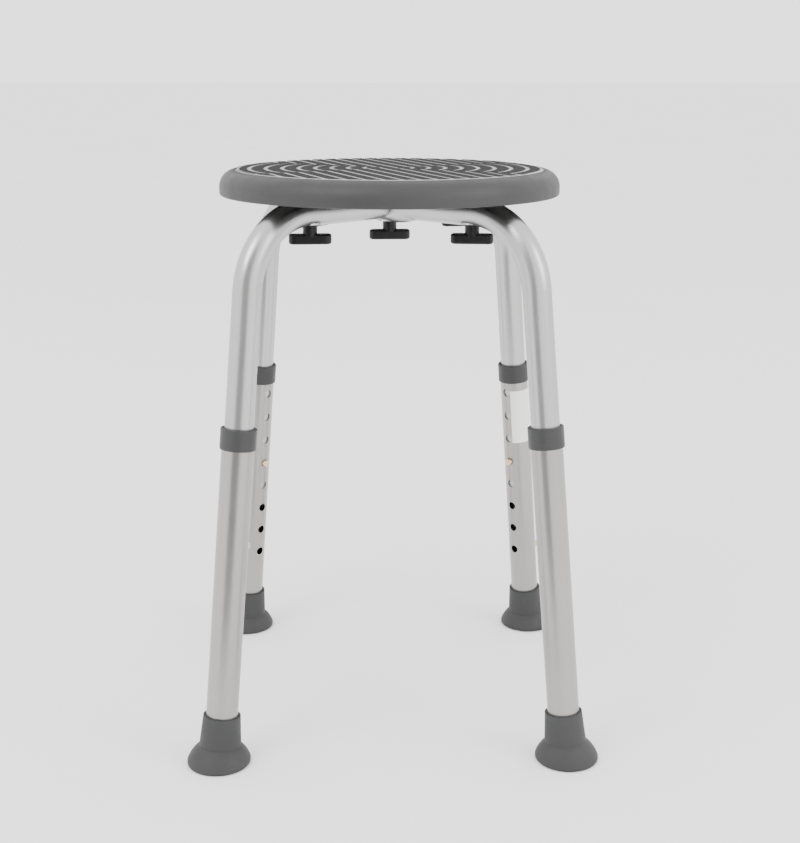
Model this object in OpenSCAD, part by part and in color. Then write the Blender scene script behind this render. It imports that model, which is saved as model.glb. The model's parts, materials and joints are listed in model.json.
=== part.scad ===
// Round shower stool with a ribbed seat on two crossed tube frames, four
// height-adjustable legs with snap buttons, rubber feet and five clamping knobs.
// Units are millimetres. The floor is z = 0, the seat's centre is on the z axis,
// and the front of the stool faces -y.

/* [Seat] */
// Height of the sitting surface above the floor, buttons in the fourth hole
seat_height = 518; // [500:1:535]
// Outside diameter of the seat
seat_d = 314; // [300:1:330]
// Height of the seat's rim
rim_height = 22.5; // [20:0.5:26]
// Radius of the rounded upper edge of the rim
rim_top_radius = 15; // [10:0.5:16]
// Radius of the rounded lower edge of the rim
rim_bottom_radius = 2; // [1:0.25:3]
// Wall thickness of the rim
seat_wall = 4; // [3.5:0.25:5]
// Thickness of the seat's top panel
panel_thickness = 5; // [4:0.25:6]
// Distance from the seat's edge to the non-slip field
field_inset = 15; // [15:0.5:22]
// Distance from one ring groove of the field to the next
ring_pitch = 15.5; // [14:0.5:17]
// Width of a ring groove
ring_groove_width = 3; // [2:0.25:4]
// Depth of a ring groove
ring_groove_depth = 0.8; // [0.4:0.1:1.2]
// Thickness of the ribs under the seat
rib_thickness = 2.2; // [1.6:0.1:3]
// Diameter of the round bosses that take the threaded inserts
boss_d = 22; // [20:0.5:25]
// Outside diameter of a threaded insert
insert_d = 12; // [11:0.5:13]
// Length of a threaded insert
insert_length = 11; // [9:0.5:12]

/* [Frame] */
// Outside diameter of the bent frame tubes
tube_d = 25.4; // [24:0.1:26.5]
// Wall thickness of the bent frame tubes
tube_wall = 1.5; // [1.2:0.1:1.8]
// Depth of the frame tubes' tops below the sitting surface
frame_depth = 19.7; // [19.3:0.1:20.8]
// Radius of the bends at the tubes' centre line
bend_radius = 70; // [60:1:76]
// Lean of each leg away from the vertical, in degrees
leg_tilt = 6.4; // [5:0.1:7.5]
// Distance from the stool's axis to the centre of each foot
foot_reach = 222.8; // [214:0.2:232]
// Bulge of the lower tube where the upper tube is pressed into it
crossing_bulge = 4.2; // [3:0.1:5]
// Radius of the bulge along the tube
bulge_radius = 150; // [120:5:180]
// Height of the faint ring that the bending tool leaves at each end of a bend
mark_height = 0.03; // [0.02:0.01:0.05]
// Free space beside each tube where it sits in the other's saddle
saddle_clearance = 0.15; // [0.1:0.05:0.3]
// Distance along a leg from the floor to the lower end of its frame tube
tube_end = 163; // [150:1:166]

/* [Legs] */
// Wall thickness of the outer leg tubes
leg_wall = 1.52; // [1.3:0.02:1.8]
// Free space all round between a frame tube and its outer leg tube
slide_clearance = 0.08; // [0.04:0.01:0.1]
// Distance along a leg from the floor to the outer tube's lower end
leg_start = 8; // [7:0.5:10]
// Distance along a leg from the floor to the outer tube's upper end
leg_end = 306; // [300:1:306]
// Distance along a leg from the floor to its snap button
button_position = 200; // [196:0.5:204]
// Distance from one height hole to the next
hole_pitch = 25.9; // [25:0.1:26.2]
// Diameter of the height holes
hole_d = 8.2; // [8.1:0.1:8.6]
// Height holes above the button
holes_above = 3; // [2:1:3]
// Height holes below the button
holes_below = 4; // [2:1:4]
// Wall thickness of the plastic collars
collar_wall = 1.7; // [1.4:0.1:2.2]
// Length of the plastic collars
collar_length = 19; // [16:0.5:22]
// Thickness of a collar's lip above the end of the outer tube
collar_lip = 1.6; // [1.2:0.1:2]
// Radius of the rounded outer edges of a collar
collar_edge = 0.9; // [0.5:0.1:1.2]
// Free space all round between a collar's lip and the frame tube
lip_clearance = 0.3; // [0.25:0.05:0.5]
// Length of the blank label along the back right leg
label_length = 58; // [40:1:64]
// Angle that the label covers round the tube
label_span = 110; // [80:5:150]
// Direction of the label's middle, round the leg from its outward side
label_angle = 255; // [230:5:280]
// Distance along the leg from the floor to the label's lower edge
label_position = 222; // [216:1:224]
// Thickness of the label
label_thickness = 0.2; // [0.1:0.05:0.3]

/* [Feet] */
// Diameter of a foot on the floor
foot_d = 57; // [52:0.5:60]
// Length of a foot along its leg
foot_length = 45; // [40:0.5:50]
// Distance that a foot's dome, carried down to the floor, would pass the foot's edge
foot_dome_flare = 1.2; // [0.8:0.1:2.5]
// Depth of the dome's centre below the floor
foot_dome_depth = 7; // [6:0.25:9]
// Wall thickness of a foot's neck at its upper end
neck_top_wall = 2.5; // [2:0.1:3.5]
// Wall thickness of a foot's neck at its lower end, inside the dome
neck_bottom_wall = 4.7; // [4:0.1:6]
// Thickness of the steel washer inside a foot
foot_washer_thickness = 1.5; // [1:0.1:2]
// Depth of the ring grooves in a foot's sole
sole_groove_depth = 1.2; // [0.8:0.1:1.5]
// Width of the ring grooves in a foot's sole
sole_groove_width = 2; // [1.5:0.1:2.5]

/* [Snap buttons] */
// Diameter of a snap button
button_d = 7.5; // [7:0.05:7.5]
// Height of a button above the outer tube
button_rise = 4.6; // [4:0.1:5]
// Distance that a button can be pressed in
button_travel = 6.4; // [6.2:0.1:6.6]
// Width of a button's spring strip
spring_width = 8; // [7:0.25:8]
// Thickness of a button's spring strip
spring_thickness = 0.8; // [0.6:0.1:1]
// Distance from a button up to the fold of its spring
spring_reach = 42; // [36:1:48]

/* [Knobs] */
// Distance from the start of a tube's bend in to the axis of its knob
knob_inset = 4.5; // [2:0.5:10]
// Distance from a frame tube's underside down to the underside of its knob
knob_hang = 15.8; // [14.5:0.1:17.5]
// Length of a knob's bar
bar_length = 38; // [34:0.5:42]
// Height of a knob's bar
bar_height = 9.2; // [8:0.1:10]
// Width of a knob's bar at its middle
bar_width = 11.5; // [10:0.5:13]
// Diameter of a knob's round stem
stem_d = 12.8; // [12:0.2:14]
// Diameter of the studs
stud_d = 8; // [7:0.5:8.5]
// Free space all round between a stud and its insert
stud_clearance = 0.05; // [0.02:0.01:0.1]
// Free space all round between a stud and the tubes and washers it passes through
stud_hole_clearance = 0.6; // [0.4:0.1:1]
// Free space between a knob's stem and its washer
stem_gap = 0.3; // [0.3:0.05:0.5]
// Depth of the pressed seat for each washer
dimple_depth = 3; // [2:0.1:3.5]
// Diameter of the pressed seat for each washer
dimple_d = 19; // [18.5:0.1:19.5]
// Diameter of the washers
washer_d = 17; // [16:0.5:18]
// Thickness of the washers
washer_thickness = 1.4; // [1:0.1:1.6]
// Direction of the centre knob's bar
knob_turn_centre = 2; // [-90:1:90]
// Direction of the front left knob's bar
knob_turn_fl = 4; // [-90:1:90]
// Direction of the front right knob's bar
knob_turn_fr = -6; // [-90:1:90]
// Direction of the back left knob's bar
knob_turn_bl = 58; // [-90:1:90]
// Direction of the back right knob's bar
knob_turn_br = 8; // [-90:1:90]

/* [Hidden] */
$fn = 96;
// Small length that keeps cutting solids clear of the faces they pass through
eps = 1;
// Directions of the four legs round the stool
az_br = 45;
az_bl = 135;
az_fl = 225;
az_fr = 315;
azimuths = [az_br, az_bl, az_fl, az_fr];
// Radii of the tubes
tube_r = tube_d / 2;
tube_bore_r = tube_r - tube_wall;
leg_bore_r = tube_r + slide_clearance;
leg_r = leg_bore_r + leg_wall;
// Heights of the frame and of the seat
frame_z = seat_height - frame_depth - tube_r;
rim_z = seat_height - rim_height;
panel_z = seat_height - panel_thickness;
seat_r = seat_d / 2;
field_r = seat_r - field_inset;
// Centre of the bends: the straight leg is tangent to them
bend_z = frame_z - bend_radius;
bend_r = foot_reach - (bend_radius + bend_z * sin(leg_tilt)) / cos(leg_tilt);
bend_angle = 90 - leg_tilt;
// Distance along the leg from the floor to where the bend starts
leg_top = (bend_z + bend_radius * sin(leg_tilt)) / cos(leg_tilt);
// A bend's end: the gap that the ring closes, and the ring's length
mark_gap = 0.1;
mark_length = 1;
// The crossing: the two tubes press into each other at one level
lap_z = frame_z - crossing_bulge / 2;
crossing_z = frame_z - crossing_bulge;
// Half length of the bulge, which ends just inside the wall of the tube
bulge_end_depth = 0.4;
bulge_half = sqrt(pow(bulge_radius, 2) - pow(bulge_radius - crossing_bulge - bulge_end_depth, 2));
liner_inset = 0.2;
// Studs, washers and knobs
insert_bore_r = stud_d / 2 + stud_clearance;
stud_hole_r = stud_d / 2 + stud_hole_clearance;
insert_cover = 1.5;
insert_top = panel_z - insert_cover;
stud_tip_gap = 1;
stud_tip = insert_top - stud_tip_gap;
dimple_z = tube_r - dimple_depth;
knob_circle = bend_r - knob_inset;
knob_drop = tube_r + knob_hang;
bar_edge = 2;
// Ribs and bosses under the seat
rib_tube_gap = 0.7;
rib_z = frame_z + tube_r + rib_tube_gap;
boss_foot_rise = 1;
boss_foot = rim_z + boss_foot_rise;
ring_rib_radii = [52, 103];
radial_ribs = 16;
hub_ring_r = 14;
// Feet
foot_r = foot_d / 2;
foot_dome_radius = sqrt(pow(foot_r + foot_dome_flare, 2) + pow(foot_dome_depth, 2));
neck_foot = 15;
foot_edge = 2;
sole_rings = [9, 16, 23];
// Snap button
flange_r = 4.6;
flange_thickness = 1;
flange_depth = 3.8;
flange_x = tube_bore_r - flange_depth;
button_tip = leg_r + button_rise;
button_dome = 2.2;
spring_tail = 7;
spring_gap = 0.05;
spring_near_x = flange_x - spring_gap;
spring_far_x = sqrt(pow(tube_bore_r, 2) - pow(spring_width / 2, 2)) - spring_gap;
fold_r = 3;

// ---- Placement ----

// The frame of one leg: x points outward, z runs up the leg from the floor
module on_leg(az) {
  rotate([0, 0, az])
    translate([foot_reach, 0, 0])
      rotate([0, -leg_tilt, 0])
        children();
}

// The place of one outer knob, on the frame tube's centre line
module at_knob(az) {
  rotate([0, 0, az])
    translate([knob_circle, 0, frame_z])
      children();
}

// The place of the centre knob, on the lower tube's centre line
module at_crossing() {
  translate([0, 0, crossing_z])
    children();
}

// A horizontal cylinder along x, both ways from the middle
module bar_x(r, half) {
  rotate([0, 90, 0])
    cylinder(r = r, h = 2 * half, center = true);
}

// ---- Frame tubes ----

// One side of a bent tube, solid: the bend, the straight leg and the two faint rings
module tube_side(r, end) {
  translate([bend_r, 0, bend_z])
    rotate([90, 0, 0])
      rotate([0, 0, leg_tilt]) {
        rotate_extrude(angle = bend_angle)
          translate([bend_radius, 0])
            circle(r = r);
        translate([bend_radius, 0, 0])
          rotate([90, 0, 0]) {
            translate([0, 0, mark_gap])
              cylinder(r = r, h = leg_top - end - mark_gap);
            bend_mark(r);
          }
        rotate([0, 0, bend_angle])
          translate([bend_radius, 0, 0])
            rotate([90, 0, 0])
              bend_mark(r);
      }
}

module bend_mark(r) {
  cylinder(r = r + mark_height, h = mark_length, center = true);
}

// The level stretch between the two bends
module level_run(r) {
  translate([0, 0, frame_z])
    bar_x(r, bend_r - mark_gap);
}

// The bulge under the lower tube at the crossing, solid, with radius r at its middle
module bulge(r) {
  translate([0, 0, crossing_z])
    rotate([0, 90, 0])
      rotate_extrude()
        intersection() {
          translate([r - bulge_radius, 0])
            circle(r = bulge_radius);
          translate([0, -bulge_half])
            square([bulge_radius, 2 * bulge_half]);
        }
}

// A whole bent tube along x, solid, with radius r
module tube_solid(r, end) {
  tube_side(r, end);
  mirror([1, 0, 0])
    tube_side(r, end);
  level_run(r);
}

// The room that the other tube takes at the crossing, above the lap (side = 1)
// or below it (side = -1). grow is 0 for the room and the wall's thickness for its wall.
module saddle(side, grow) {
  half = tube_r + saddle_clearance + grow;
  tall = 3 * tube_r;
  translate([0, 0, lap_z + side * (tall / 2 - grow)])
    cube([2 * half, 4 * tube_r, tall], center = true);
}

// The pressed seat for a washer, in the underside of a tube along x.
// The origin is on the tube's centre line. grow is 0 for the seat itself.
module dimple(grow) {
  translate([0, 0, -dimple_z - 2 * tube_r + grow])
    cylinder(r = dimple_d / 2 + grow, h = 2 * tube_r);
}

// The places of a tube's own two knobs
module at_tube_knobs() {
  for (s = [-1, 1])
    translate([s * knob_circle, 0, frame_z])
      children();
}

// The round holes for the studs and the snap buttons of one tube
module tube_holes() {
  at_tube_knobs()
    cylinder(r = stud_hole_r, h = 4 * tube_r, center = true);
  translate([0, 0, frame_z])
    cylinder(r = stud_hole_r, h = 6 * tube_r, center = true);
  for (s = [0, 1])
    mirror([s, 0, 0])
      translate([foot_reach, 0, 0])
        rotate([0, -leg_tilt, 0])
          translate([0, 0, button_position])
            rotate([0, -90, 0])
              cylinder(r = hole_d / 2, h = leg_r);
}

// The upper tube along x: the lower one is pressed up into its underside
module upper_tube() {
  difference() {
    union() {
      difference() {
        tube_solid(tube_r, tube_end);
        tube_solid(tube_bore_r, tube_end - eps);
      }
      intersection() {
        level_run(tube_r - liner_inset);
        union() {
          saddle(-1, tube_wall);
          at_tube_knobs()
            dimple(tube_wall);
        }
      }
    }
    saddle(-1, 0);
    at_tube_knobs()
      dimple(0);
    tube_holes();
  }
}

// The lower tube along x: it bulges under the upper one, which is pressed into its top
module lower_tube() {
  difference() {
    union() {
      difference() {
        union() {
          tube_solid(tube_r, tube_end);
          bulge(tube_r);
        }
        tube_solid(tube_bore_r, tube_end - eps);
        bulge(tube_bore_r);
      }
      intersection() {
        union() {
          level_run(tube_r - liner_inset);
          bulge(tube_r - liner_inset);
        }
        union() {
          saddle(1, tube_wall);
          at_crossing()
            dimple(tube_wall);
          at_tube_knobs()
            dimple(tube_wall);
        }
      }
    }
    saddle(1, 0);
    at_crossing()
      dimple(0);
    at_tube_knobs()
      dimple(0);
    tube_holes();
  }
}

module frame_upper_tube() {
  color([0.78, 0.79, 0.80])
    rotate([0, 0, az_br])
      upper_tube();
}

module frame_lower_tube() {
  color([0.78, 0.79, 0.80])
    rotate([0, 0, az_bl])
      lower_tube();
}

module knob_washers() {
  color([0.72, 0.73, 0.74]) {
    for (az = azimuths)
      at_knob(az)
        washer();
    at_crossing()
      washer();
  }
}

// A washer in its pressed seat. The origin is on the tube's centre line.
module washer() {
  translate([0, 0, -dimple_z - washer_thickness])
    difference() {
      cylinder(r = washer_d / 2, h = washer_thickness);
      translate([0, 0, -eps])
        cylinder(r = stud_hole_r, h = washer_thickness + 2 * eps);
    }
}

// ---- Seat ----

// Half of the seat's outline, with its rounded edges
module seat_outline() {
  translate([0, rim_z])
    square([seat_r - rim_bottom_radius, rim_height - rim_top_radius]);
  translate([0, rim_z + rim_bottom_radius])
    square([seat_r, rim_height - rim_top_radius - rim_bottom_radius]);
  translate([seat_r - rim_bottom_radius, rim_z + rim_bottom_radius])
    circle(r = rim_bottom_radius);
  translate([0, rim_z])
    square([seat_r - rim_top_radius, rim_height]);
  intersection() {
    translate([seat_r - rim_top_radius, seat_height - rim_top_radius])
      circle(r = rim_top_radius);
    translate([0, seat_height - rim_top_radius])
      square([seat_r, rim_top_radius]);
  }
}

// Half of the hollow under the seat
module hollow_outline() {
  inner_r = rim_top_radius - seat_wall;
  hollow_r = seat_r - seat_wall;
  translate([0, rim_z - eps])
    square([hollow_r - inner_r, panel_z - rim_z + eps]);
  translate([0, rim_z - eps])
    square([hollow_r, rim_height - rim_top_radius + eps]);
  intersection() {
    translate([hollow_r - inner_r, seat_height - rim_top_radius])
      circle(r = inner_r);
    square([hollow_r, panel_z]);
  }
}

// The ribs, cut off at the hollow's outline
module seat_ribs() {
  for (r = ring_rib_radii)
    translate([0, 0, rib_z])
      difference() {
        cylinder(r = r + rib_thickness / 2, h = panel_z - rib_z + eps);
        translate([0, 0, -eps])
          cylinder(r = r - rib_thickness / 2, h = panel_z - rib_z + 3 * eps);
      }
  for (i = [0 : radial_ribs - 1])
    rotate([0, 0, (i + 0.5) * 360 / radial_ribs])
      translate([hub_ring_r, -rib_thickness / 2, rib_z])
        cube([seat_r - seat_wall - hub_ring_r + eps, rib_thickness, panel_z - rib_z + eps]);
  translate([0, 0, rib_z])
    cylinder(r = hub_ring_r + rib_thickness, h = panel_z - rib_z + eps);
}

// The bosses, reaching down beside the tubes to cradle them
module seat_bosses() {
  for (az = azimuths)
    rotate([0, 0, az])
      translate([knob_circle, 0, boss_foot])
        cylinder(r = boss_d / 2, h = panel_z - boss_foot + eps);
  translate([0, 0, boss_foot])
    cylinder(r = boss_d / 2, h = panel_z - boss_foot + eps);
}

module at_all_knobs() {
  children();
  for (az = azimuths)
    rotate([0, 0, az])
      translate([knob_circle, 0, 0])
        children();
}

module seat() {
  color([0.36, 0.36, 0.37])
    difference() {
      union() {
        difference() {
          rotate_extrude()
            seat_outline();
          rotate_extrude()
            hollow_outline();
        }
        intersection() {
          seat_ribs();
          rotate_extrude()
            seat_outline();
        }
        seat_bosses();
      }
      for (az = [az_br, az_bl])
        rotate([0, 0, az])
          translate([0, 0, frame_z])
            bar_x(tube_r, knob_circle + boss_d);
      at_all_knobs()
        translate([0, 0, frame_z])
          cylinder(r = insert_d / 2, h = insert_top - frame_z);
      ring_grooves();
    }
}

// The groove round the non-slip field and the ring grooves in it
module ring_grooves() {
  rings = floor(field_r / ring_pitch);
  for (i = [0 : rings - 1])
    translate([0, 0, seat_height - ring_groove_depth])
      rotate_extrude()
        translate([field_r - i * ring_pitch - ring_groove_width, 0])
          square([ring_groove_width, ring_groove_depth + eps]);
}

module seat_inserts() {
  color([0.80, 0.66, 0.36])
    at_all_knobs()
      translate([0, 0, insert_top - insert_length])
        difference() {
          cylinder(r = insert_d / 2, h = insert_length);
          translate([0, 0, -eps])
            cylinder(r = insert_bore_r, h = insert_length + 2 * eps);
        }
}

// ---- Legs ----

module leg(az) {
  color([0.80, 0.81, 0.82])
    on_leg(az)
      difference() {
        translate([0, 0, leg_start])
          cylinder(r = leg_r, h = leg_end - leg_start);
        translate([0, 0, leg_start - eps])
          cylinder(r = leg_bore_r, h = leg_end - leg_start + 2 * eps);
        for (i = [-holes_below : holes_above])
          translate([0, 0, button_position + i * hole_pitch])
            rotate([0, -90, 0])
              cylinder(r = hole_d / 2, h = leg_r + eps);
      }
}

// Half of a collar's outline, with rounded outer edges
module collar_outline() {
  collar_r = leg_r + collar_wall;
  difference() {
    union() {
      square([collar_r - collar_edge, collar_length]);
      translate([0, collar_edge])
        square([collar_r, collar_length - 2 * collar_edge]);
      translate([collar_r - collar_edge, collar_edge])
        circle(r = collar_edge);
      translate([collar_r - collar_edge, collar_length - collar_edge])
        circle(r = collar_edge);
    }
    translate([0, -eps])
      square([tube_r + lip_clearance, collar_length + 2 * eps]);
    translate([0, -eps])
      square([leg_r, collar_length - collar_lip + eps]);
  }
}

module collar(az) {
  color([0.30, 0.30, 0.31])
    on_leg(az)
      translate([0, 0, leg_end + collar_lip - collar_length])
        rotate_extrude()
          collar_outline();
}

module foot(az) {
  color([0.33, 0.33, 0.34])
    difference() {
      union() {
        rotate([0, 0, az])
          translate([foot_reach, 0, 0])
            foot_base();
        on_leg(az)
          translate([0, 0, neck_foot])
            cylinder(
              r1 = leg_r + neck_bottom_wall,
              r2 = leg_r + neck_top_wall,
              h = foot_length - neck_foot
            );
      }
      on_leg(az)
        translate([0, 0, leg_start - foot_washer_thickness])
          cylinder(r = leg_r, h = foot_length);
      rotate([0, 0, az])
        translate([foot_reach, 0, 0])
          sole_grooves();
    }
}

// The domed base, standing on the floor
module foot_base() {
  intersection() {
    translate([0, 0, -foot_dome_depth])
      sphere(r = foot_dome_radius);
    union() {
      cylinder(r = foot_r - foot_edge, h = foot_dome_radius);
      translate([0, 0, foot_edge])
        cylinder(r = foot_r, h = foot_dome_radius);
      translate([0, 0, foot_edge])
        rotate_extrude()
          translate([foot_r - foot_edge, 0])
            circle(r = foot_edge);
    }
  }
}

module sole_grooves() {
  for (r = sole_rings)
    translate([0, 0, -eps])
      difference() {
        cylinder(r = r + sole_groove_width / 2, h = sole_groove_depth + eps);
        translate([0, 0, -eps])
          cylinder(r = r - sole_groove_width / 2, h = sole_groove_depth + 3 * eps);
      }
}

module foot_washer(az) {
  color([0.62, 0.63, 0.64])
    on_leg(az)
      translate([0, 0, leg_start - foot_washer_thickness])
        cylinder(r = leg_r, h = foot_washer_thickness);
}

module leg_label() {
  color([0.95, 0.95, 0.94])
    on_leg(az_br)
      translate([0, 0, label_position])
        rotate([0, 0, label_angle - label_span / 2])
          rotate_extrude(angle = label_span)
            translate([leg_r, 0])
              square([label_thickness, label_length]);
}

// ---- Snap buttons ----

module snap_button(az) {
  color([0.82, 0.72, 0.50])
    on_leg(az)
      translate([0, 0, button_position])
        rotate([0, -90, 0]) {
          translate([0, 0, flange_x])
            cylinder(r = flange_r, h = flange_thickness);
          translate([0, 0, flange_x])
            cylinder(r = button_d / 2, h = button_tip - button_dome - flange_x);
          translate([0, 0, button_tip - button_dome])
            button_nose();
        }
}

// The rounded end of a button: a flat crown with a rounded shoulder
module button_nose() {
  rotate_extrude() {
    square([button_d / 2 - button_dome, button_dome]);
    intersection() {
      translate([button_d / 2 - button_dome, 0])
        circle(r = button_dome);
      square([button_d / 2, button_dome]);
    }
  }
}

// The folded strip that pushes a button out: one arm behind the button, one arm
// against the far wall of the frame tube, joined by a round fold above
module snap_spring(az) {
  color([0.62, 0.63, 0.65])
    on_leg(az)
      translate([0, 0, button_position])
        rotate([90, 0, 0])
          linear_extrude(height = spring_width, center = true)
            polygon(concat(
              spring_edge(0),
              [for (i = [len(spring_edge(1)) - 1 : -1 : 0]) spring_edge(1)[i]]
            ));
}

// One edge of the strip: side is 0 for the outer edge and 1 for the inner one
function spring_edge(side) = concat(
  [
    [-spring_near_x + side * spring_thickness, -spring_tail],
    [-spring_near_x + side * spring_thickness, spring_tail]
  ],
  [for (a = [180 : -30 : 0])
    [
      (fold_r - side * spring_thickness) * cos(a),
      spring_reach + (fold_r - side * spring_thickness) * sin(a)
    ]
  ],
  [
    [spring_far_x - side * spring_thickness, spring_tail],
    [spring_far_x - side * spring_thickness, -spring_tail]
  ]
);

// ---- Knobs ----

// One knob about its own axis: the origin is on the tube's centre line
module knob_shape() {
  stem_top = -dimple_z - washer_thickness - stem_gap;
  difference() {
    union() {
      translate([0, 0, -knob_drop])
        bar_shape();
      translate([0, 0, bar_height - knob_drop - bar_edge])
        cylinder(r = stem_d / 2, h = stem_top + knob_drop - bar_height + bar_edge);
    }
    translate([0, 0, bar_height / 2 - knob_drop])
      cylinder(r = stud_d / 2, h = knob_drop);
  }
}

// Half of the bar's cross-section, with rounded edges
module bar_half_section() {
  half = bar_width / 2;
  square([half - bar_edge, bar_height]);
  translate([0, bar_edge])
    square([half, bar_height - 2 * bar_edge]);
  translate([half - bar_edge, bar_edge])
    circle(r = bar_edge);
  translate([half - bar_edge, bar_height - bar_edge])
    circle(r = bar_edge);
}

// The bar: a strip with round ends and rounded edges, along x
module bar_shape() {
  reach = bar_length / 2 - bar_width / 2;
  for (s = [-90, 90])
    rotate([0, 0, s + 90])
      translate([reach, 0, 0])
        rotate([0, 0, -90])
          rotate_extrude(angle = 180)
            bar_end_section();
  rotate([90, 0, 90])
    linear_extrude(height = 2 * reach, center = true) {
      bar_half_section();
      mirror([1, 0])
        bar_half_section();
    }
}

// The part of the half section that is turned to make a round end
module bar_end_section() {
  intersection() {
    bar_half_section();
    square([bar_width, bar_height]);
  }
}

module knob(turn) {
  color([0.06, 0.06, 0.065])
    rotate([0, 0, turn])
      knob_shape();
}

module stud(z) {
  color([0.66, 0.67, 0.69])
    translate([0, 0, bar_height / 2 - knob_drop])
      cylinder(r = stud_d / 2, h = stud_tip - z - bar_height / 2 + knob_drop);
}

module outer_knob(az, turn) {
  rotate([0, 0, az])
    translate([knob_circle, 0, frame_z])
      rotate([0, 0, -az])
        knob(turn);
}

seat();
seat_inserts();
frame_upper_tube();
frame_lower_tube();
knob_washers();
leg(az_fl);  // leg_fl
leg(az_fr);  // leg_fr
leg(az_bl);  // leg_bl
leg(az_br);  // leg_br
collar(az_fl);  // collar_fl
collar(az_fr);  // collar_fr
collar(az_bl);  // collar_bl
collar(az_br);  // collar_br
foot(az_fl);  // foot_fl
foot(az_fr);  // foot_fr
foot(az_bl);  // foot_bl
foot(az_br);  // foot_br
foot_washer(az_fl);  // foot_washer_fl
foot_washer(az_fr);  // foot_washer_fr
foot_washer(az_bl);  // foot_washer_bl
foot_washer(az_br);  // foot_washer_br
leg_label();
snap_button(az_fl);  // snap_button_fl
snap_button(az_fr);  // snap_button_fr
snap_button(az_bl);  // snap_button_bl
snap_button(az_br);  // snap_button_br
snap_spring(az_fl);  // snap_spring_fl
snap_spring(az_fr);  // snap_spring_fr
snap_spring(az_bl);  // snap_spring_bl
snap_spring(az_br);  // snap_spring_br
at_crossing() knob(knob_turn_centre);  // knob_centre
outer_knob(az_fl, knob_turn_fl);  // knob_fl
outer_knob(az_fr, knob_turn_fr);  // knob_fr
outer_knob(az_bl, knob_turn_bl);  // knob_bl
outer_knob(az_br, knob_turn_br);  // knob_br
at_crossing() stud(crossing_z);  // stud_centre
at_knob(az_fl) stud(frame_z);  // stud_fl
at_knob(az_fr) stud(frame_z);  // stud_fr
at_knob(az_bl) stud(frame_z);  // stud_bl
at_knob(az_br) stud(frame_z);  // stud_br
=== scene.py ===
import json
import math

import bpy
import numpy as np
from mathutils import Matrix, Vector


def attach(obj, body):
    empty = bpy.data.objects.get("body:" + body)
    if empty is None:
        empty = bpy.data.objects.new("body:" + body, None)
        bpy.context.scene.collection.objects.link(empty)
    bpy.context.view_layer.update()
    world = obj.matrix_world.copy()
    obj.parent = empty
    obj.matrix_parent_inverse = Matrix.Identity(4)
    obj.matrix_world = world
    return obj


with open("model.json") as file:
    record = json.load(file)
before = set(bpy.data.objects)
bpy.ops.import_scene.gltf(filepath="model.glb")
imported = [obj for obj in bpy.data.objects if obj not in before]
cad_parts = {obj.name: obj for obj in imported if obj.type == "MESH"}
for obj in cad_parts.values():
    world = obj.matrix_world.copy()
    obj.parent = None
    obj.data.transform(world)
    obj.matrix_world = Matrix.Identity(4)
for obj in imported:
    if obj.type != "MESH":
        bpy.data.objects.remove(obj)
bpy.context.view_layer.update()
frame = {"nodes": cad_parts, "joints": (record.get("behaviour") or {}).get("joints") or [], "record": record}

NODES = frame["nodes"]
LEGS = ("fl", "fr", "bl", "br")
KNOBS = ("centre",) + LEGS
MM = 0.001


# ---------- the stool's own lines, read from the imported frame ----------

def leg_axis(leg):
    """(point on the floor, direction up the leg) of one leg, from its slide joint and its sole."""
    joint = next(j for j in frame["joints"] if j["name"] == "leg_slide_" + leg)
    mount = next(m for m in frame["record"]["mounts"] if m["name"] == "foot_" + leg)
    return Vector(mount["pos_m"]), Vector(joint["axis"]).normalized()


def leg_matrix(leg):
    """Object-to-world of a leg's own frame: z up the leg, x outward."""
    foot, up = leg_axis(leg)
    outward = Vector((foot.x, foot.y, 0)).normalized()
    side = up.cross(outward).normalized()
    outward = side.cross(up)
    m = Matrix((outward, side, up)).transposed().to_4x4()
    m.translation = foot
    return m


# ---------- camera, light and floor ----------

# sensor's long side and focal length in mm, place in the row frame, angles in degrees
SENSOR = 36
LENS = 58.5
CAMERA_AT = Vector((-0.41, -1285.67, 607.57)) * MM
PITCH, YAW, ROLL, TURN = (math.radians(a) for a in (14.45, -0.46, -0.07, 1.07))


def make_camera():
    data = bpy.data.cameras.new("camera")
    cam = bpy.data.objects.new("camera", data)
    bpy.context.scene.collection.objects.link(cam)
    data.sensor_fit = "AUTO"
    data.sensor_width = SENSOR
    data.lens = LENS
    turn = Matrix.Rotation(-TURN, 4, "Z")
    aim = (
        Matrix.Rotation(YAW, 4, "Z")
        @ Matrix.Rotation(-PITCH, 4, "X")
        @ Matrix.Rotation(ROLL, 4, "Y")
    )
    look = Matrix.Rotation(math.pi / 2, 4, "X")
    cam.matrix_world = turn @ Matrix.Translation(CAMERA_AT) @ aim @ look
    bpy.context.scene.camera = cam


WORLD_STRENGTH = 2.3
LIGHT_AIM = Vector((0, 0, 0.3))
# name, place, width and height, and power of each lamp
LAMPS = (
    ("key", (-1.6, -1.5, 2.4), (1.4, 1.4), 40),
    ("fill", (2.0, -1.2, 1.6), (1.2, 1.6), 25),
)


def area_light(name, at, size, power):
    data = bpy.data.lights.new(name, "AREA")
    data.shape = "RECTANGLE"
    data.size, data.size_y = size
    data.energy = power
    lamp = bpy.data.objects.new(name, data)
    bpy.context.scene.collection.objects.link(lamp)
    lamp.location = at
    lamp.rotation_mode = "QUATERNION"
    lamp.rotation_quaternion = (LIGHT_AIM - Vector(at)).to_track_quat("-Z", "Y")


def make_world():
    world = bpy.data.worlds.new("studio")
    bpy.context.scene.world = world
    world.use_nodes = True
    sky = world.node_tree.nodes["Background"]
    sky.inputs["Color"].default_value = (1, 1, 1, 1)
    sky.inputs["Strength"].default_value = WORLD_STRENGTH


# ---------- materials ----------

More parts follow.
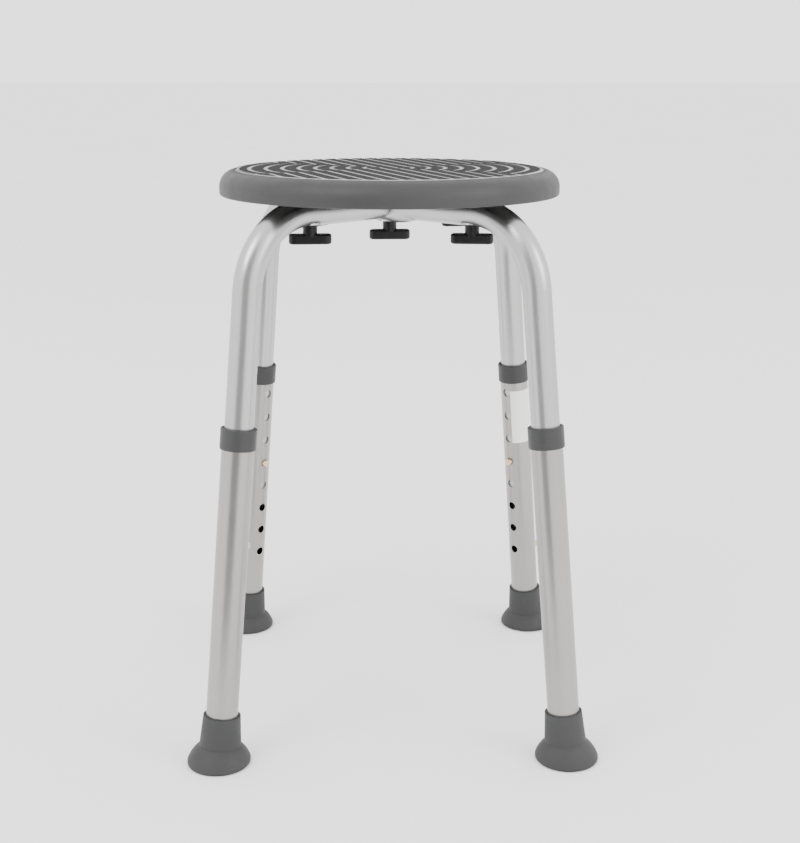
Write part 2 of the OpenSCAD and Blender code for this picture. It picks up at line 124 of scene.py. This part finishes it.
class Mat:
    """A procedural material in object coordinates, which are metres in the row frame."""

    def __init__(self, name, matrix=None, **sockets):
        self.mat = bpy.data.materials.new(name)
        self.mat.use_nodes = True
        self.tree = self.mat.node_tree
        self.bsdf = self.tree.nodes["Principled BSDF"]
        for key, value in sockets.items():
            self.bsdf.inputs[key.replace("_", " ")].default_value = value
        coords = self.node("ShaderNodeTexCoord")
        self.coords = coords.outputs["Object"]
        if matrix is not None:
            inverse = matrix.inverted()
            mapping = self.node("ShaderNodeMapping")
            mapping.inputs["Location"].default_value = inverse.translation
            mapping.inputs["Rotation"].default_value = inverse.to_euler()
            self.link(self.coords, mapping.inputs["Vector"])
            self.coords = mapping.outputs["Vector"]

    def node(self, kind):
        return self.tree.nodes.new(kind)

    def link(self, a, b):
        self.tree.links.new(a, b)

    def scaled(self, scale):
        mapping = self.node("ShaderNodeMapping")
        mapping.inputs["Scale"].default_value = scale
        self.link(self.coords, mapping.inputs["Vector"])
        return mapping.outputs["Vector"]

    def noise(self, scale, detail, rough=0.5, stretch=None):
        n = self.node("ShaderNodeTexNoise")
        n.inputs["Scale"].default_value = scale
        n.inputs["Detail"].default_value = detail
        n.inputs["Roughness"].default_value = rough
        self.link(self.scaled(stretch) if stretch else self.coords, n.inputs["Vector"])
        return n.outputs["Fac"]

    def ramp(self, fac, stops):
        r = self.node("ShaderNodeValToRGB")
        while len(r.color_ramp.elements) < len(stops):
            r.color_ramp.elements.new(0.5)
        for element, (place, shade) in zip(r.color_ramp.elements, stops):
            element.position = place
            element.color = (*shade, 1)
        self.link(fac, r.inputs["Fac"])
        return r.outputs["Color"]

    def span(self, fac, low, high, start=0.3, end=0.7):
        m = self.node("ShaderNodeMapRange")
        for key, value in (
            ("From Min", start), ("From Max", end), ("To Min", low), ("To Max", high)
        ):
            m.inputs[key].default_value = value
        self.link(fac, m.inputs["Value"])
        return m.outputs["Result"]

    def colour(self, socket):
        self.link(socket, self.bsdf.inputs["Base Color"])

    def rough(self, socket):
        self.link(socket, self.bsdf.inputs["Roughness"])

    def bump(self, height, strength, distance, under=None):
        b = self.node("ShaderNodeBump")
        b.inputs["Strength"].default_value = strength
        b.inputs["Distance"].default_value = distance
        self.link(height, b.inputs["Height"])
        if under is not None:
            self.link(under, b.inputs["Normal"])
        self.link(b.outputs["Normal"], self.bsdf.inputs["Normal"])
        return b.outputs["Normal"]


# base colours, as linear values
SEAT_GREY = 0.035
COLLAR_GREY = 0.034
FOOT_GREY = 0.035
KNOB_BLACK = 0.0015
FIELD_PAD = 0.016
FIELD_GROOVE = 0.36
LABEL_WHITE = (0.82, 0.82, 0.80)
FRAME_METAL = (0.45, 0.45, 0.447)
LEG_METAL = (0.345, 0.335, 0.325)
ZINC = (0.66, 0.67, 0.68)
SPRING_STEEL = (0.42, 0.43, 0.45)
BUTTON_BRASS = (0.72, 0.58, 0.36)
INSERT_BRASS = (0.70, 0.50, 0.22)
# a plastic's specular level, below the usual 0.5
DULL = 0.3
FIELD_DULL = 0.15
# the noises' scales: patches a metre
PLASTIC_TINT = 9
PLASTIC_WEAR = 60
PLASTIC_WAVE = 160
METAL_TINT = 14
METAL_WEAR = 45
FIELD_GRAIN = 1500
# the drawing marks along a leg: many across it, few along it
STREAKS = (700, 700, 9)


def grey(v, tint=0.0):
    return (v, v, v * (1 + tint))


def plastic(name, base, vary, roughness, grain_mm=0.6, bump=0.12):
    """A moulded plastic or rubber: patchy in colour and gloss, with soft waves and a fine grain."""
    m = Mat(name, Specular_IOR_Level=DULL)
    m.colour(m.ramp(m.noise(PLASTIC_TINT, 4), [
        (0.3, [c * (1 - vary) for c in base]), (0.7, [c * (1 + vary) for c in base])
    ]))
    m.rough(m.span(m.noise(PLASTIC_WEAR, 4), roughness - 0.05, roughness + 0.06))
    soft = m.bump(m.noise(PLASTIC_WAVE, 2), 0.05, 0.0006)
    m.bump(m.noise(1 / (grain_mm * MM), 2), bump, 0.00008, soft)
    return m.mat


def metal(name, base, roughness, matrix=None, streak=0.0, grain_mm=0.35):
    """A satin metal: slightly patchy, finely grained, and with lengthwise marks where streak is set."""
    m = Mat(name, matrix, Metallic=1.0)
    m.colour(m.ramp(m.noise(METAL_TINT, 3), [
        (0.3, [c * 0.97 for c in base]), (0.7, [c * 1.02 for c in base])
    ]))
    m.rough(m.span(m.noise(METAL_WEAR, 4), roughness - 0.02, roughness + 0.03))
    fine = m.bump(m.noise(1 / (grain_mm * MM), 2), 0.02, 0.00002)
    if streak:
        m.bump(m.noise(1, 3, 0.6, STREAKS), streak, 0.00004, fine)
    return m.mat


def paint(material, nodes):
    for n in nodes:
        o = NODES[n]
        o.data.materials.clear()
        o.data.materials.append(material)


def each(part, places):
    """The CAD nodes of a part that repeats, one for each place."""
    return [part + "_" + place for place in places]


def paint_cad():
    paint(plastic("seat_plastic", grey(SEAT_GREY), 0.05, 0.5), ["seat"])
    paint(plastic("collar_plastic", grey(COLLAR_GREY, 0.02), 0.05, 0.45, 0.5), each("collar", LEGS))
    paint(plastic("foot_rubber", grey(FOOT_GREY, 0.02), 0.09, 0.6, 0.7, 0.2), each("foot", LEGS))
    paint(plastic("knob_plastic", grey(KNOB_BLACK), 0.1, 0.4, 0.5, 0.08), each("knob", KNOBS))
    paint(metal("frame_aluminium", FRAME_METAL, 0.31), ["frame_upper_tube", "frame_lower_tube"])
    for leg in LEGS:
        satin = metal("leg_aluminium_" + leg, LEG_METAL, 0.31, leg_matrix(leg), 0.04)
        paint(satin, ["leg_" + leg])
    paint(
        metal("zinc_steel", ZINC, 0.3),
        ["knob_washers", *each("stud", KNOBS), *each("foot_washer", LEGS)],
    )
    paint(metal("spring_steel", SPRING_STEEL, 0.26), each("snap_spring", LEGS))
    paint(metal("button_brass", BUTTON_BRASS, 0.27), each("snap_button", LEGS))
    paint(metal("insert_brass", INSERT_BRASS, 0.3), ["seat_inserts"])
    paint(plastic("label_film", LABEL_WHITE, 0.02, 0.45, 0.9, 0.06), ["leg_label"])


# ---------- the non-slip field on the seat ----------

# in mm; the seat's own top is at 518
FIELD_R = 142.0
FIELD_STEP = 0.75
FIELD_FLOOR_Z = 518.1
FIELD_TOP_Z = 518.95
FIELD_EDGE_Z = 517.8
# the part of the pads' and the grooves' height that takes its flat colour
FIELD_MARGIN = 0.2
GROOVE_PITCH = 15.1
# where one groove crosses the seat's middle, half a groove's width, and the run of its walls
GROOVE_START = 6.5
GROOVE_HALF = 1.8
GROOVE_SLOPE = 0.35
# sideways shift of the middle grooves for each mm towards the front
GROOVE_LEAN = 0.33
# the bowed grooves reach this far round from the seat's left and right ends
BOW_REACH = math.radians(33)
EDGE_RING_R = 139.8
EDGE_RING_HALF = 1.0


def smooth_step(low, high, v):
    t = np.clip((v - low) / (high - low), 0, 1)
    return t * t * (3 - 2 * t)


def raised_outside(half_width, off):
    """0 in a groove and 1 on the pads, where off is the distance from the groove's middle."""
    return smooth_step(half_width - GROOVE_SLOPE, half_width + GROOVE_SLOPE, off)


def field_height(x, y, r):
    """The field's height: its grooves bow at the seat's two ends and lean in its middle."""
    bowed = np.abs(np.arctan2(y, np.abs(x))) < BOW_REACH
    across = np.where(bowed, np.sign(x) * r, x + GROOVE_LEAN * y)
    off = np.abs((across - GROOVE_START + GROOVE_PITCH / 2) % GROOVE_PITCH - GROOVE_PITCH / 2)
    pad = raised_outside(GROOVE_HALF, off)
    pad = np.minimum(pad, raised_outside(EDGE_RING_HALF, np.abs(r - EDGE_RING_R)))
    z = FIELD_FLOOR_Z + (FIELD_TOP_Z - FIELD_FLOOR_Z) * pad
    return np.where(r > FIELD_R - FIELD_STEP / 2, FIELD_EDGE_Z, z)


def field_mesh():
    """A round grid of the field's heights, with its outermost points drawn in to the edge."""
    half = int(FIELD_R / FIELD_STEP) + 1
    line = np.arange(-half, half + 1) * FIELD_STEP
    x, y = np.meshgrid(line, line, indexing="ij")
    r = np.hypot(x, y)
    kept = r < FIELD_R + FIELD_STEP
    shrink = np.where(r > FIELD_R, FIELD_R / np.maximum(r, 1), 1)
    x = x * shrink
    y = y * shrink
    r = np.minimum(r, FIELD_R)
    points = np.stack([x, y, field_height(x, y, r)], axis=-1)[kept] * MM
    number = np.full(kept.shape, -1)
    number[kept] = np.arange(kept.sum())
    corners = [number[:-1, :-1], number[1:, :-1], number[1:, 1:], number[:-1, 1:]]
    quads = np.stack(corners, axis=-1)
    quads = quads[(quads >= 0).all(axis=-1)]
    mesh = bpy.data.meshes.new("seat_pads")
    mesh.from_pydata(points.tolist(), [], quads.tolist())
    mesh.polygons.foreach_set("use_smooth", [True] * len(mesh.polygons))
    mesh.update()
    return mesh


def field_material():
    """Dark rough pads and pale grooves, told apart by their height."""
    m = Mat("seat_field", Specular_IOR_Level=FIELD_DULL)
    split = m.node("ShaderNodeSeparateXYZ")
    m.link(m.coords, split.inputs["Vector"])
    low = (FIELD_FLOOR_Z + FIELD_MARGIN) * MM
    high = (FIELD_TOP_Z - FIELD_MARGIN) * MM
    level = m.span(split.outputs["Z"], 0, 1, low, high)
    m.colour(m.ramp(level, [(0.0, grey(FIELD_GROOVE)), (1.0, grey(FIELD_PAD))]))
    m.rough(m.span(level, 0.5, 0.8, 0, 1))
    m.bump(m.noise(FIELD_GRAIN, 2), 0.25, 0.00008)
    return m.mat


def make_field():
    pads = bpy.data.objects.new("seat_pads", field_mesh())
    bpy.context.scene.collection.objects.link(pads)
    pads.data.materials.append(field_material())
    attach(pads, "frame")


# ---------- the stage ----------

FLOOR_SIZE = 120
# just under the feet, so that the soles and the floor don't share a plane
FLOOR_Z = -0.0002
# name, place, point it faces, width and height, and grey of each card
CARDS = (
    ("card_front", (-0.19, -0.64, 0.5), (-0.1, 0, 0.5), (0.5, 1.0), 0.3),
    ("card_back", (0, 1.3, 0.5), (0, 0, 0.4), (0.8, 1.6), 0.1),
)


def make_floor():
    bpy.ops.mesh.primitive_plane_add(size=FLOOR_SIZE, location=(0, 0, FLOOR_Z))
    floor = bpy.context.object
    floor.name = "floor"
    m = Mat("floor_paint", Roughness=1.0, Specular_IOR_Level=0.0)
    m.colour(m.ramp(m.noise(1.3, 2), [(0.3, grey(0.90)), (0.7, grey(0.92))]))
    floor.data.materials.append(m.mat)


def dark_card(name, at, to, size, shade):
    """A card near the stool that shows only as a darker band in the tubes' reflections."""
    bpy.ops.mesh.primitive_plane_add(size=1, location=at)
    card = bpy.context.object
    card.name = name
    card.scale = (*size, 1)
    card.rotation_mode = "QUATERNION"
    card.rotation_quaternion = (Vector(to) - Vector(at)).to_track_quat("Z", "Y")
    card.visible_camera = False
    card.visible_shadow = False
    card.visible_diffuse = False
    m = Mat(name, Roughness=1.0, Specular_IOR_Level=0.0)
    m.colour(m.ramp(m.noise(3, 2), [(0.3, grey(shade)), (0.7, grey(shade * 1.1))]))
    card.data.materials.append(m.mat)


make_camera()
make_world()
make_floor()
for card in CARDS:
    dark_card(*card)
for lamp in LAMPS:
    area_light(*lamp)
paint_cad()
make_field()
